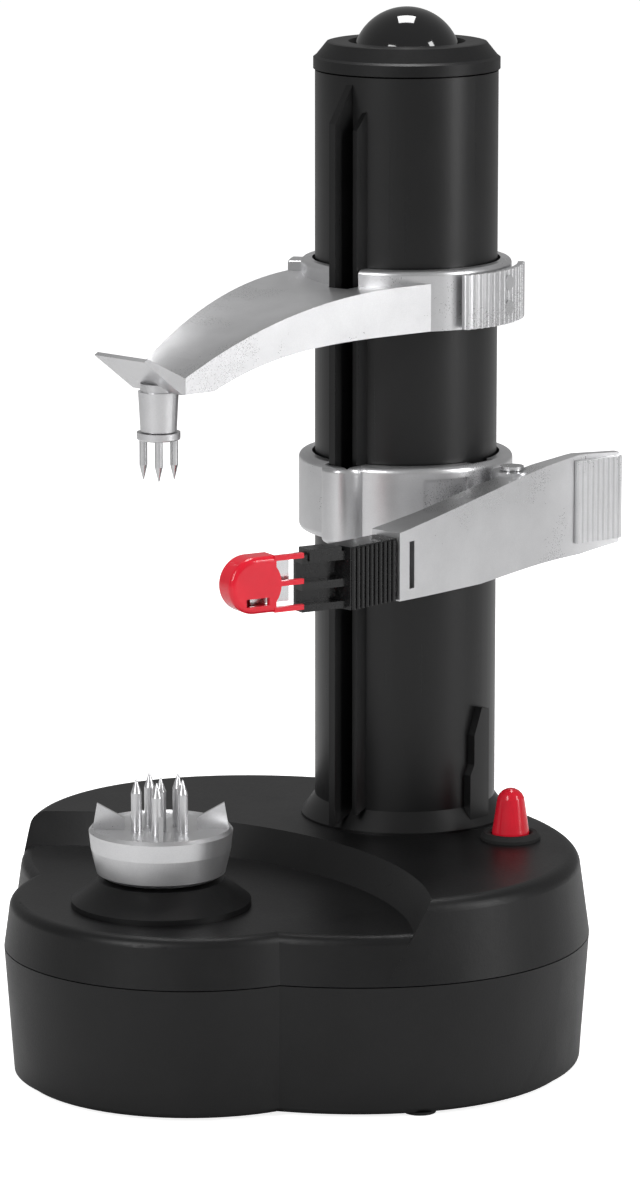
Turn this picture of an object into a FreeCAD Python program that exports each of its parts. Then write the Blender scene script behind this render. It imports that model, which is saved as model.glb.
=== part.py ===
import FreeCAD, Part
import math
import os

os.makedirs("parts", exist_ok=True)
V = FreeCAD.Vector

# Electric potato peeler. Origin on the floor under the column axis, +Z up,
# -Y from the column to the food holder, +X on the side of the blade arm.

# Base housing: a wide rear oval and a round front lobe about the food holder
BASE_X = -2.0
REAR_Y = -42.0
REAR_LONG = 89.0
REAR_SHORT = 73.0
LOBE_Y = -86.0
LOBE_RADIUS = 52.5
PARTING_Z = 38.0
HIGH_DECK_Z = 61.0
LOW_DECK_Z = 52.0
TUB_BOTTOM_Z = 2.6
DRAFT_UP = 3.2
DRAFT_DOWN = 2.5
WALL = 2.4
SEAT = 0.03
DECK_ROUND = 4.0
RIM_ROUND = 3.0
STEP_CENTRE_Y = -150.0
STEP_TOP_RADIUS = 109.0
STEP_SLOPE = 5.0
SEAM = 0.3
PLATE_INSET = 5.2
PLATE_THICK = 1.6
FOOT_HEIGHT = 0.8

# Column, its rail, its switch cam and its cap
COLUMN_RADIUS = 26.0
COLUMN_WALL = 2.4
COLUMN_TOP_Z = 276.4
FLARE_RADIUS = 30.0
FLARE_HEIGHT = 5.9
SPIGOT_RADIUS = 23.6
SPIGOT_DEPTH = 10.0
RAIL_X = 2.05
RAIL_WIDTH = 2.3
RAIL_REACH = 7.0
SLOT_WIDTH = 3.0
SIDE_RIB_WIDTH = 1.6
SIDE_RIB_REACH = 3.0
CAM_REACH = 2.5
CAP_RADIUS = 26.5
CAP_RIM_HEIGHT = 3.7
CAP_HEIGHT = 7.6
CAP_FACE_RADIUS = 22.3
DOME_RADIUS = 15.0
DOME_HEIGHT = 9.6

# Food holder at the front
HOLDER_Y = -100.0
CUP_RADIUS = 20.0
CUP_FOOT_RADIUS = 17.9
CUP_FOOT_Z = 60.4
CUP_RIM_Z = 74.3
FIN_TOP_Z = 81.0
PIN_TOP_Z = 88.0
SKIRT_RADIUS = 25.0
SHAFT_RADIUS = 3.0

# Upper arm
RING_BORE = 26.8
RING_WALL = 3.2
UPPER_RING_Z = 206.0
UPPER_RING_HEIGHT = 17.0
ARM_TAIL_HALF = 9.6
ARM_ROOT_HALF = 23.5
ARM_TAIL_Y = -99.1
ARM_ROOT_Y = -24.0
ARM_ROOT_TOP = 219.4
ARM_DROP = 18.6
ARM_UNDER_DROP = 9.8
SOCKET_TOP_RADIUS = 5.6
SOCKET_FOOT_RADIUS = 5.0
SOCKET_LENGTH = 11.0
PAD_RADIUS = 33.7
PAD_RIBS = 15

# Carriage and blade arm
CARRIAGE_Z = 145.0
CARRIAGE_HEIGHT = 22.3
PIVOT_X = 37.0
PIVOT_Y = 4.0
PIVOT_PIN_RADIUS = 2.0
LUG_RADIUS = 5.6
LEVER_BOTTOM_Z = 138.0
LEVER_FRONT_Y = -58.0
LEVER_FRONT_HEIGHT = 19.6
LEVER_RISE = 10.2
LEVER_FRONT_WIDTH = 10.4
LEVER_WALL = 1.5
THUMB_RIBS = 9
GUARD_LENGTH = 14.0
GUARD_HEIGHT = 15.6
GUARD_WIDTH = 8.0
HEAD_TURN = 17.0

# Power button
BUTTON_X = 44.5
BUTTON_Y = -4.0
BUTTON_RADIUS = 5.3
BUTTON_TIP_RADIUS = 4.0
BUTTON_HEIGHT = 14.8
BEZEL_RADIUS = 8.5

# Drive train, spur gears of one module
MODULE = 1.0
PRESSURE_ANGLE = 25.0
BACKLASH = 0.30
PINION_TEETH = 12
FIRST_TEETH = 50
SECOND_TEETH = 54
IDLER_TEETH = 48
OUTPUT_TEETH = 52
GEAR_WIDTH = 4.0
GEAR_PLATE_Z = 27.0
GEAR_PLATE_THICK = 3.0
MOTOR_RADIUS = 13.5
MOTOR_TURN = 30.0
SCREW_RADIUS = 5.0

# Clearances
RUN = 0.06
FIT = 0.20
GAP = 0.40

# Worked out from the sizes above
IDLER_Y = HOLDER_Y / 2
FIRST_X = MODULE * (PINION_TEETH + SECOND_TEETH) / 2
MOTOR_REACH = MODULE * (PINION_TEETH + FIRST_TEETH) / 2
MOTOR_X = FIRST_X + MOTOR_REACH * math.cos(math.radians(MOTOR_TURN))
MOTOR_Y = IDLER_Y + MOTOR_REACH * math.sin(math.radians(MOTOR_TURN))
LEVEL_THREE = GEAR_PLATE_Z + GEAR_PLATE_THICK + 1.6
LEVEL_TWO = LEVEL_THREE + GEAR_WIDTH + 1.6
LEVEL_ONE = LEVEL_TWO + GEAR_WIDTH + 1.6
CAP_Z = COLUMN_TOP_Z + 0.5
RAIL_TOP_Y = -(COLUMN_RADIUS + RAIL_REACH)
SLOT_X = RAIL_X + RAIL_WIDTH / 2 + SLOT_WIDTH / 2
SIDE_RIB_X = SLOT_X + SLOT_WIDTH / 2 + SIDE_RIB_WIDTH / 2
RING_OUTER = RING_BORE + RING_WALL
SOCKET_Z = ARM_ROOT_TOP - 14.0 - ARM_UNDER_DROP - SOCKET_LENGTH + 0.7
LEVER_FRONT_TOP = LEVER_BOTTOM_Z + LEVER_FRONT_HEIGHT


def save(name, shape, merge=True):
    """Write one sub-part and print its volume."""
    if len(shape.Solids) == 1 and merge:
        shape = shape.removeSplitter()
    shape.exportStep("parts/" + name + ".step")
    print(name, len(shape.Solids), round(shape.Volume, 1), shape.isValid())


def cyl(radius, z0, z1, x=0.0, y=0.0):
    return Part.makeCylinder(radius, z1 - z0, V(x, y, z0))


def cone(r0, r1, z0, z1, x=0.0, y=0.0):
    return Part.makeCone(r0, r1, z1 - z0, V(x, y, z0))


def ring(r0, r1, z0, z1, x=0.0, y=0.0):
    return cyl(r1, z0, z1, x, y).cut(cyl(r0, z0 - 1, z1 + 1, x, y))


def box(x0, x1, y0, y1, z0, z1):
    return Part.makeBox(x1 - x0, y1 - y0, z1 - z0, V(x0, y0, z0))


def turned(points, x=0.0, y=0.0):
    """Revolve a closed (radius, height) outline about the vertical line at x, y."""
    wire = Part.makePolygon([V(x + r, y, z) for r, z in points + points[:1]])
    return Part.Face(wire).revolve(V(x, y, 0), V(0, 0, 1), 360)


def prism_z(points, z0, z1):
    wire = Part.makePolygon([V(x, y, z0) for x, y in points + points[:1]])
    return Part.Face(wire).extrude(V(0, 0, z1 - z0))


def prism_x(points, x0, x1):
    wire = Part.makePolygon([V(x0, y, z) for y, z in points + points[:1]])
    return Part.Face(wire).extrude(V(x1 - x0, 0, 0))


def rounded(shape, radius, pick):
    """Fillet the edges for which pick(edge) holds."""
    edges = [e for e in shape.Edges if pick(e)]
    return shape.makeFillet(radius, edges)


def at_height(z):
    return lambda e: abs(e.BoundBox.ZMin - z) < 1e-4 and abs(e.BoundBox.ZMax - z) < 1e-4


def spin(shape, degrees, x=0.0, y=0.0):
    out = shape.copy()
    out.rotate(V(x, y, 0), V(0, 0, 1), degrees)
    return out


def coil(radius, wire, z0, z1, turns, x=0.0, y=0.0):
    """Helical compression spring between two heights, as one unbroken wire."""
    pitch = (z1 - z0 - wire * 2) / turns
    path = Part.makeHelix(pitch, pitch * turns, radius)
    path.translate(V(0, 0, z0 + wire))
    corners = [math.radians(60 * k + 20) for k in range(6)]
    section = [V(radius + wire * math.cos(a), 0, z0 + wire * (1 + math.sin(a))) for a in corners]
    start = Part.Wire(Part.makePolygon(section + section[:1]))
    spring = Part.Wire(path.Edges).makePipeShell([start], True, False)
    spring.translate(V(x, y, 0))
    return spring


def gear(teeth, z0, z1, x, y, bore, turn=0.0):
    """Spur gear with involute flanks, a tooth centred on the +X side before turn."""
    alpha = math.radians(PRESSURE_ANGLE)
    pitch_r = MODULE * teeth / 2
    base_r = pitch_r * math.cos(alpha)
    tip_r = pitch_r + 0.75 * MODULE
    root_r = pitch_r - 1.0 * MODULE
    half = (math.pi * MODULE / 2 - BACKLASH) / (2 * pitch_r)
    inv_pitch = math.tan(alpha) - alpha

    def flank(radius):
        reach = max(radius, base_r)
        angle = math.acos(base_r / reach)
        return half + inv_pitch - (math.tan(angle) - angle)

    radii = [root_r, (root_r + pitch_r) / 2, pitch_r, tip_r]
    points = []
    for k in range(teeth):
        mid = 2 * math.pi * k / teeth + math.radians(turn)
        side = [(r, flank(r)) for r in radii]
        for r, a in side:
            points.append(V(x + r * math.cos(mid - a), y + r * math.sin(mid - a), z0))
        for r, a in reversed(side):
            points.append(V(x + r * math.cos(mid + a), y + r * math.sin(mid + a), z0))
    face = Part.Face(Part.makePolygon(points + points[:1]))
    return face.extrude(V(0, 0, z1 - z0)).cut(cyl(bore, z0 - 1, z1 + 1, x, y))


def oval(inset, z):
    return Part.Wire(Part.Ellipse(V(BASE_X, REAR_Y, z), REAR_LONG - inset, REAR_SHORT - inset).toShape())


def lobe(inset, z):
    return Part.Wire(Part.Circle(V(BASE_X, LOBE_Y, z), V(0, 0, 1), LOBE_RADIUS - inset).toShape())


def drafted(outline, z0, inset0, z1, inset1, round_top=0.0):
    """Body between one base outline at two heights, with its top edge rounded."""
    body = Part.makeLoft([outline(inset0, z0), outline(inset1, z1)], True, True)
    return rounded(body, round_top, at_height(z1)) if round_top else body


def step_cutter(extra, z0, z1):
    """The sloping round wall that steps down from the high deck to the low one."""
    slope = STEP_SLOPE / (HIGH_DECK_Z - LOW_DECK_Z)
    low = STEP_TOP_RADIUS + extra - slope * (HIGH_DECK_Z - z0)
    high = STEP_TOP_RADIUS + extra + slope * (z1 - HIGH_DECK_Z)
    return cone(low, high, z0, z1, BASE_X + 2.0, STEP_CENTRE_Y)


def cover_form(inset, lower_by, z0, edge_round, rim_round):
    """Outer or inner form of the cover: high deck, low deck and front lobe."""
    slope = DRAFT_UP / (HIGH_DECK_Z - PARTING_Z)
    high_z = HIGH_DECK_Z - lower_by
    low_z = LOW_DECK_Z - lower_by
    start = inset - slope * (PARTING_Z - z0)
    high = drafted(oval, z0, start, high_z, inset + slope * (high_z - PARTING_Z), edge_round)
    high = high.cut(step_cutter(inset, z0 - 1, HIGH_DECK_Z + 2))
    low_inset = inset + slope * (low_z - PARTING_Z)
    rear = drafted(oval, z0, start + SEAT, low_z, low_inset + SEAT, rim_round)
    front = drafted(lobe, z0, start, low_z, low_inset, rim_round)
    return high.fuse([rear, front])


COVER_POSTS = [(-81.0, -46.0), (70.0, -56.0), (-42.0, 9.0), (37.5, -97.0), (-40.0, -99.0)]
PLATE_POSTS = [(-10.0, -112.0), (10.0, -25.0), (-12.0, 12.0), (68.0, -18.0)]


def base_cover():
    outer = cover_form(0.0, 0.0, PARTING_Z + SEAM / 2, DECK_ROUND, RIM_ROUND)
    inner = cover_form(WALL, WALL, PARTING_Z - 1, 0.0, 0.0)
    shell = outer.cut(inner)
    for x, y in COVER_POSTS:
        low = (x, y) in COVER_POSTS[3:]
        top = (LOW_DECK_Z if low else HIGH_DECK_Z) - WALL + 0.5
        shell = shell.fuse(cyl(3.6, PLATE_THICK + FOOT_HEIGHT + GAP, top, x, y))
    for x, y in COVER_POSTS:
        shell = shell.cut(cyl(1.3, 0, 20, x, y))
    shell = shell.cut(cyl(SPIGOT_RADIUS + FIT, LOW_DECK_Z - 8, HIGH_DECK_Z + 5))
    shell = shell.cut(cyl(SHAFT_RADIUS + 2.4, LOW_DECK_Z - 9, LOW_DECK_Z + 5, 0, HOLDER_Y))
    return shell.cut(cyl(BUTTON_RADIUS + FIT * 2, LOW_DECK_Z, HIGH_DECK_Z + 5, BUTTON_X, BUTTON_Y))


def base_tub():
    z1 = PARTING_Z - SEAM / 2
    bodies = [drafted(o, TUB_BOTTOM_Z, DRAFT_DOWN, z1, 0.0) for o in (oval, lobe)]
    hollow = [drafted(o, TUB_BOTTOM_Z - 1, DRAFT_DOWN + WALL, z1 + 1, WALL) for o in (oval, lobe)]
    shell = bodies[0].fuse(bodies[1]).cut(hollow[0].fuse(hollow[1]))
    inlet = Part.makeCylinder(INLET_RADIUS + FIT, 12, V(INLET_X, REAR_BACK_Y - 8, INLET_Z), V(0, 1, 0))
    return shell.cut(inlet)


INLET_X = -30.0
INLET_Z = 20.0
INLET_RADIUS = 5.0
REAR_BACK_Y = REAR_Y + REAR_SHORT * math.sqrt(1 - ((INLET_X - BASE_X) / REAR_LONG) ** 2)
CELL_RADIUS = 7.15
CELL_LENGTH = 50.0
CASE_X0 = -70.0
CASE_X1 = CASE_X0 + 8 * CELL_RADIUS + 3.4
CASE_Y0 = -74.0
CASE_Y1 = CASE_Y0 + CELL_LENGTH + 7.0
CASE_Z1 = 20.0
DOOR_Z = FOOT_HEIGHT
SPARE_X0, SPARE_X1 = 8.0, 28.0
SPARE_Y0, SPARE_Y1 = -96.0, -62.0


def bottom_plate():
    z0 = FOOT_HEIGHT
    z1 = z0 + PLATE_THICK
    flat = [drafted(o, z0, PLATE_INSET, z1, PLATE_INSET - 0.6) for o in (oval, lobe)]
    plate = flat[0].fuse(flat[1])
    inset = DRAFT_DOWN + WALL + GAP
    lip = [drafted(o, z1 - 0.2, inset, z1 + 3, inset) for o in (oval, lobe)]
    core = [drafted(o, z1 - 0.5, inset + 1.4, z1 + 4, inset + 1.4) for o in (oval, lobe)]
    plate = plate.fuse(lip[0].fuse(lip[1]).cut(core[0].fuse(core[1])))
    for x, y in PLATE_POSTS:
        plate = plate.fuse(cyl(4.0, z1 - 0.5, GEAR_PLATE_Z, x, y))
    for x, y in COVER_POSTS:
        plate = plate.cut(cyl(1.7, 0, 6, x, y)).cut(cyl(3.2, -1, z0 + 0.9, x, y))
    doors = box(CASE_X0, CASE_X1, CASE_Y0, CASE_Y1, -1, 6)
    spare = box(SPARE_X0, SPARE_X1, SPARE_Y0, SPARE_Y1, -1, 6)
    return plate.cut(doors).cut(spare)


def battery_case():
    """Open-bottomed box over the cells, standing on the bottom plate."""
    z0 = FOOT_HEIGHT + PLATE_THICK + 0.02
    outer = box(CASE_X0 - 1.2, CASE_X1 + 1.2, CASE_Y0 - 1.2, CASE_Y1 + 1.2, z0, CASE_Z1)
    return outer.cut(box(CASE_X0, CASE_X1, CASE_Y0, CASE_Y1, z0 - 1, CASE_Z1 - 1.2))


def cell_axes():
    return [CASE_X0 + 1.7 + CELL_RADIUS * (2 * k + 1) for k in range(4)]


def batteries():
    z = CASE_Z1 - 1.4 - CELL_RADIUS
    cells = []
    for k, x in enumerate(cell_axes()):
        start = CASE_Y0 + 3.0
        body = Part.makeCylinder(CELL_RADIUS - 0.05, CELL_LENGTH - 1.5, V(x, start + 0.75, z), V(0, 1, 0))
        tip_y = start + CELL_LENGTH - 0.9 if k % 2 else start - 0.5
        cells.append(body.fuse(Part.makeCylinder(2.6, 1.4, V(x, tip_y, z), V(0, 1, 0))))
    return Part.makeCompound(cells)


def battery_contacts():
    z = CASE_Z1 - 1.4 - CELL_RADIUS
    plates = []
    for x in cell_axes():
        for y in (CASE_Y0 + 0.1, CASE_Y1 - 0.6):
            plates.append(box(x - 5.5, x + 5.5, y, y + 0.5, z - 5, z + 5))
    return Part.makeCompound(plates)


def door_panel(x0, x1, y0, y1):
    panel = box(x0 + GAP, x1 - GAP, y0 + GAP, y1 - GAP, DOOR_Z, DOOR_Z + PLATE_THICK)
    grip = box((x0 + x1) / 2 - 5, (x0 + x1) / 2 + 5, y0 + 2, y0 + 3.4, DOOR_Z - 1, DOOR_Z + 0.7)
    return panel.cut(grip)


def spare_box():
    z0 = FOOT_HEIGHT + PLATE_THICK + 0.02
    outer = box(SPARE_X0 - 1.2, SPARE_X1 + 1.2, SPARE_Y0 - 1.2, SPARE_Y1 + 1.2, z0, z0 + 9)
    return outer.cut(box(SPARE_X0, SPARE_X1, SPARE_Y0, SPARE_Y1, z0 - 1, z0 + 7.8))


def spare_blades():
    z0 = FOOT_HEIGHT + PLATE_THICK
    blades = []
    for k in range(2):
        x = SPARE_X0 + 5 + 9 * k
        strip = box(x - 3.5, x + 3.5, SPARE_Y0 + 4, SPARE_Y0 + 28, z0 + 0.3, z0 + 1.0)
        blades.append(strip.cut(box(x - 0.8, x + 0.8, SPARE_Y0 + 8, SPARE_Y0 + 24, z0, z0 + 2)))
    return Part.makeCompound(blades)


FOOT_PLACES = [(0.0, 0.0), (-54.0, -6.0), (50.0, -6.0), (-77.0, -62.0), (70.0, -70.0), (-18.0, -118.0), (14.0, -118.0)]


def rubber_feet():
    feet = [cyl(4.5, 0, FOOT_HEIGHT - 0.02, x, y) for x, y in FOOT_PLACES]
    return Part.makeCompound(feet)


def base_screws():
    screws = []
    for x, y in COVER_POSTS:
        head = cyl(2.8, FOOT_HEIGHT + 0.1, FOOT_HEIGHT + 0.88, x, y)
        screws.append(head.fuse(cyl(1.2, FOOT_HEIGHT + 0.5, 12, x, y)))
    return Part.makeCompound(screws)


def capsule(x0, y0, x1, y1, half, z0, z1):
    """Flat bar with round ends between two axes."""
    length = math.hypot(x1 - x0, y1 - y0)
    bar = box(0, length, -half, half, z0, z1)
    bar.rotate(V(0, 0, 0), V(0, 0, 1), math.degrees(math.atan2(y1 - y0, x1 - x0)))
    bar.translate(V(x0, y0, 0))
    return bar.fuse([cyl(half, z0, z1, x0, y0), cyl(half, z0, z1, x1, y1)])


def gear_plate():
    z0, z1 = GEAR_PLATE_Z + 0.02, GEAR_PLATE_Z + GEAR_PLATE_THICK
    spine = capsule(0, HOLDER_Y, 0, 0, 14, z0, z1)
    branch = capsule(0, IDLER_Y, FIRST_X, IDLER_Y, 12, z0, z1)
    end = capsule(FIRST_X, IDLER_Y, MOTOR_X, MOTOR_Y, 12, z0, z1)
    tabs = [cyl(5.5, z0, z1, x, y) for x, y in PLATE_POSTS]
    link = capsule(MOTOR_X, MOTOR_Y, *PLATE_POSTS[3], 4, z0, z1)
    corner = capsule(0, 0, *PLATE_POSTS[2], 4, z0, z1)
    plate = spine.fuse([branch, end, link, corner] + tabs)
    for x, y, r in [(0, HOLDER_Y, SHAFT_RADIUS), (0, 0, SHAFT_RADIUS)]:
        plate = plate.cut(cyl(r + 1.5, z0 - 1, z1 + 1, x, y))
    for x, y in [(0, IDLER_Y), (FIRST_X, IDLER_Y)]:
        plate = plate.cut(cyl(2.0, z0 - 1, z1 + 1, x, y))
    return plate.cut(cyl(3.4, z0 - 1, z1 + 1, MOTOR_X, MOTOR_Y))


def plate_screws():
    screws = []
    for x, y in PLATE_POSTS:
        z = GEAR_PLATE_Z + GEAR_PLATE_THICK
        screws.append(cyl(2.8, z + 0.02, z + 1.2, x, y))
    return Part.makeCompound(screws)


def shaft_bushes():
    """Flanged plain bearings of the two output shafts in the gear plate."""
    bushes = []
    for y in (HOLDER_Y, 0):
        z = GEAR_PLATE_Z
        sleeve = cyl(SHAFT_RADIUS + 1.48, z, z + GEAR_PLATE_THICK, 0, y)
        flange = cyl(SHAFT_RADIUS + 3, z + GEAR_PLATE_THICK + 0.02, z + GEAR_PLATE_THICK + 1.0, 0, y)
        bore = cyl(SHAFT_RADIUS + RUN, z - 1, z + 6, 0, y)
        bushes.append(sleeve.fuse(flange).cut(bore))
    return Part.makeCompound(bushes)


def gear_axles():
    tops = [LEVEL_ONE + GEAR_WIDTH + 0.6, LEVEL_TWO + GEAR_WIDTH + 0.6]
    pins = []
    for x, top in zip((0.0, FIRST_X), tops):
        pins.append(cyl(1.98, GEAR_PLATE_Z + 0.2, top, x, IDLER_Y))
    return Part.makeCompound(pins)


def motor():
    z1 = GEAR_PLATE_Z - 0.02
    can = cyl(MOTOR_RADIUS, z1 - 22, z1, MOTOR_X, MOTOR_Y)
    can = rounded(can, 1.2, at_height(z1))
    tail = cyl(4.0, z1 - 23.4, z1 - 21.9, MOTOR_X, MOTOR_Y)
    collar = cyl(3.2, z1 - 0.1, z1 + GEAR_PLATE_THICK - 0.4, MOTOR_X, MOTOR_Y)
    bore = cyl(1.0 + RUN, z1 - 8, z1 + 6, MOTOR_X, MOTOR_Y)
    return can.fuse([tail, collar]).cut(bore)


def motor_pinion():
    turn = 180 + MOTOR_TURN + mesh_turn(PINION_TEETH)
    teeth = gear(PINION_TEETH, LEVEL_THREE, LEVEL_THREE + GEAR_WIDTH, MOTOR_X, MOTOR_Y, 1.0, turn)
    return teeth


def motor_shaft():
    return cyl(1.0, GEAR_PLATE_Z - 6, LEVEL_THREE + GEAR_WIDTH + 0.4, MOTOR_X, MOTOR_Y)


def mesh_turn(teeth):
    """Turn that puts a space, not a tooth, on the line to a mating tooth."""
    return 180.0 / teeth


def first_gear():
    """Compound wheel driven by the motor pinion, with its own pinion above."""
    wheel = gear(FIRST_TEETH, LEVEL_THREE, LEVEL_THREE + GEAR_WIDTH, FIRST_X, IDLER_Y, 2 + RUN, MOTOR_TURN)
    pinion = gear(PINION_TEETH, LEVEL_THREE + GEAR_WIDTH, LEVEL_TWO + GEAR_WIDTH, FIRST_X, IDLER_Y, 2 + RUN, 180)
    hub = ring(2 + RUN, 4.4, LEVEL_THREE + GEAR_WIDTH - 0.5, LEVEL_TWO, FIRST_X, IDLER_Y)
    lighten = [cyl(4.0, 0, LEVEL_THREE + 9, *around(FIRST_X, IDLER_Y, 15, 60 * k + 30)) for k in range(6)]
    return wheel.cut(lighten[0].fuse(lighten[1:])).fuse([pinion, hub])


def around(x, y, radius, degrees):
    a = math.radians(degrees)
    return x + radius * math.cos(a), y + radius * math.sin(a)


def idler_gear():
    """Compound wheel: the large wheel below takes the drive, the upper one feeds both outputs."""
    low = gear(SECOND_TEETH, LEVEL_TWO, LEVEL_TWO + GEAR_WIDTH, 0, IDLER_Y, 2 + RUN, mesh_turn(SECOND_TEETH))
    high = gear(IDLER_TEETH, LEVEL_ONE, LEVEL_ONE + GEAR_WIDTH, 0, IDLER_Y, 2 + RUN, 90)
    hub = ring(2 + RUN, 7.0, LEVEL_TWO + 1, LEVEL_ONE + 1, 0, IDLER_Y)
    lighten = [cyl(3.6, 0, 80, *around(0, IDLER_Y, 13, 60 * k)) for k in range(6)]
    return low.fuse([high, hub]).cut(lighten[0].fuse(lighten[1:]))


def output_gear(y, turn):
    wheel = gear(OUTPUT_TEETH, LEVEL_ONE, LEVEL_ONE + GEAR_WIDTH, 0, y, SHAFT_RADIUS, turn)
    lighten = [cyl(4.2, 0, 80, *around(0, y, 15.5, 60 * k)) for k in range(6)]
    return wheel.cut(lighten[0].fuse(lighten[1:]))


def holder_shaft():
    z1 = CUP_FOOT_Z + 8
    shaft = cyl(SHAFT_RADIUS, GEAR_PLATE_Z + 0.3, z1, 0, HOLDER_Y)
    return shaft.fuse(cyl(SHAFT_RADIUS + 1.6, LEVEL_ONE - 2, LEVEL_ONE - 0.02, 0, HOLDER_Y))


def food_holder():
    """Cup with four radial fins and a ring of food pins round a central one."""
    foot = [(0, CUP_FOOT_Z), (CUP_FOOT_RADIUS - 2, CUP_FOOT_Z), (CUP_FOOT_RADIUS, CUP_FOOT_Z + 1.2)]
    wall = [(CUP_RADIUS - 0.5, CUP_FOOT_Z + 8), (CUP_RADIUS, CUP_RIM_Z - 1)]
    rim = [(CUP_RADIUS - 0.8, CUP_RIM_Z), (CUP_RADIUS - 1.6, CUP_RIM_Z - 0.6), (0, CUP_RIM_Z - 1.4)]
    cup = turned(foot + wall + rim, 0, HOLDER_Y)
    for k in range(4):
        low = CUP_RIM_Z - 2
        outline = [(10.0, low), (CUP_RADIUS - 0.9, low), (CUP_RADIUS - 2.4, FIN_TOP_Z), (10.0, CUP_RIM_Z + 2.4)]
        wire = Part.makePolygon([V(r, -0.6, z) for r, z in outline + outline[:1]])
        fin = Part.Face(wire).extrude(V(0, 1.2, 0))
        fin.rotate(V(0, 0, 0), V(0, 0, 1), 90 * k - 45)
        fin.translate(V(0, HOLDER_Y, 0))
        cup = cup.fuse(fin)
    return cup.cut(cyl(SHAFT_RADIUS, CUP_FOOT_Z - 1, CUP_FOOT_Z + 8.2, 0, HOLDER_Y))


def holder_pins():
    pins = []
    places = [(0.0, 0.0)] + [around(0, 0, 6.8, 72 * k + 18) for k in range(5)]
    for x, y in places:
        stem = cyl(1.5, CUP_RIM_Z - 1.36, PIN_TOP_Z - 4, x, HOLDER_Y + y)
        pins.append(stem.fuse(cone(1.5, 0.2, PIN_TOP_Z - 4, PIN_TOP_Z, x, HOLDER_Y + y)))
    return Part.makeCompound(pins)


def holder_skirt():
    """Black cone that keeps juice off the shaft, fixed on the low deck."""
    z0 = LOW_DECK_Z + 0.02
    outline = [(SHAFT_RADIUS + 1.0, z0), (SKIRT_RADIUS, z0), (SKIRT_RADIUS, z0 + 1.6)]
    outline += [(CUP_FOOT_RADIUS - 0.4, CUP_FOOT_Z - 0.8), (SHAFT_RADIUS + 1.0, CUP_FOOT_Z - 0.8)]
    skirt = turned(outline, 0, HOLDER_Y)
    return skirt.cut(cone(SKIRT_RADIUS - 3, CUP_FOOT_RADIUS - 3, z0 - 0.1, CUP_FOOT_Z - 3, 0, HOLDER_Y))


def column():
    top = COLUMN_TOP_Z
    deck = HIGH_DECK_Z + 0.02
    inner = COLUMN_RADIUS - COLUMN_WALL
    outline = [(SPIGOT_RADIUS - 2, deck - SPIGOT_DEPTH), (SPIGOT_RADIUS, deck - SPIGOT_DEPTH), (SPIGOT_RADIUS, deck)]
    outline += [(FLARE_RADIUS, deck), (FLARE_RADIUS, deck + 0.6), (COLUMN_RADIUS, deck + FLARE_HEIGHT)]
    outline += [(COLUMN_RADIUS, top), (inner, top), (inner, deck + 4), (SPIGOT_RADIUS - 2, deck + 4)]
    body = turned(outline)
    body = body.fuse([rail(), side_rib(), cam_rib()])
    slot = box(SLOT_X - SLOT_WIDTH / 2, SLOT_X + SLOT_WIDTH / 2, -32, -15, 72, 262)
    return body.cut(slot)


def rail():
    """Guide rib down the front; it grows from nothing at the top."""
    root = -(COLUMN_RADIUS - 1.2)
    deck = HIGH_DECK_Z
    side = [(root, deck + 5.5), (RAIL_TOP_Y, deck + 1.6), (RAIL_TOP_Y, COLUMN_TOP_Z - 12.5), (root, COLUMN_TOP_Z - 0.6)]
    return prism_x(side, RAIL_X - RAIL_WIDTH / 2, RAIL_X + RAIL_WIDTH / 2)


def side_rib():
    """Lower rib on the other side of the slot."""
    reach = -(COLUMN_RADIUS + SIDE_RIB_REACH)
    side = [(-24.0, 68), (reach, 66), (reach, 262), (-24.0, 268)]
    return prism_x(side, SIDE_RIB_X - SIDE_RIB_WIDTH / 2, SIDE_RIB_X + SIDE_RIB_WIDTH / 2)


def cam_rib():
    """Stepped rib on the +X side that meets the carriage at the end of its travel."""
    outline = [(5.0, 63.4), (5.0, 95.0), (1.5, 95.8), (-1.6, 88.0), (-1.6, 79.5), (-3.1, 76.5), (-3.1, 63.4)]
    block = prism_x(outline, COLUMN_RADIUS - 1.8, COLUMN_RADIUS + 8)
    return block.common(cyl(COLUMN_RADIUS + CAM_REACH, 60, 100))


def column_cap():
    z0 = CAP_Z
    outline = [(CAP_RADIUS, z0), (CAP_RADIUS, z0 + CAP_RIM_HEIGHT - 0.6), (CAP_RADIUS - 0.8, z0 + CAP_RIM_HEIGHT)]
    outline += [(CAP_FACE_RADIUS + 0.4, z0 + CAP_HEIGHT - 0.2), (CAP_FACE_RADIUS - 0.4, z0 + CAP_HEIGHT)]
    outline += [(DOME_RADIUS + 1.6, z0 + CAP_HEIGHT), (DOME_RADIUS + 1.0, z0 + CAP_HEIGHT - 2.0)]
    outline += [(3.0, z0 + CAP_HEIGHT - 2.0), (3.0, z0 + CAP_HEIGHT - 4.4)]
    plug = COLUMN_RADIUS - COLUMN_WALL - FIT
    outline += [(plug - 2, z0 + CAP_HEIGHT - 4.4), (plug - 2, z0 - 8), (plug, z0 - 8), (plug, z0)]
    return turned(outline)


def cap_dome():
    """Polished dome seated in the round recess of the cap."""
    z0 = CAP_Z + CAP_HEIGHT - 1.98
    height = DOME_HEIGHT + 2.0
    radius = (DOME_RADIUS ** 2 + height ** 2) / (2 * height)
    ball = Part.makeSphere(radius, V(0, 0, z0 + height - radius))
    dome = ball.common(cyl(DOME_RADIUS, z0, z0 + height + 1))
    return dome.fuse(cyl(2.9, z0 - 4, z0 + 1))


def lead_screw():
    """Feed screw on the column axis, turning in the gear plate and the cap."""
    body = cyl(SCREW_RADIUS, LEVEL_ONE + GEAR_WIDTH + 2, 264)
    low = cyl(SHAFT_RADIUS, GEAR_PLATE_Z + 0.3, LEVEL_ONE + GEAR_WIDTH + 2.5)
    collar = cyl(SHAFT_RADIUS + 1.6, LEVEL_ONE - 2, LEVEL_ONE - 0.02)
    return body.fuse([low, collar, cyl(2.4, 263, 272)])


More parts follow.
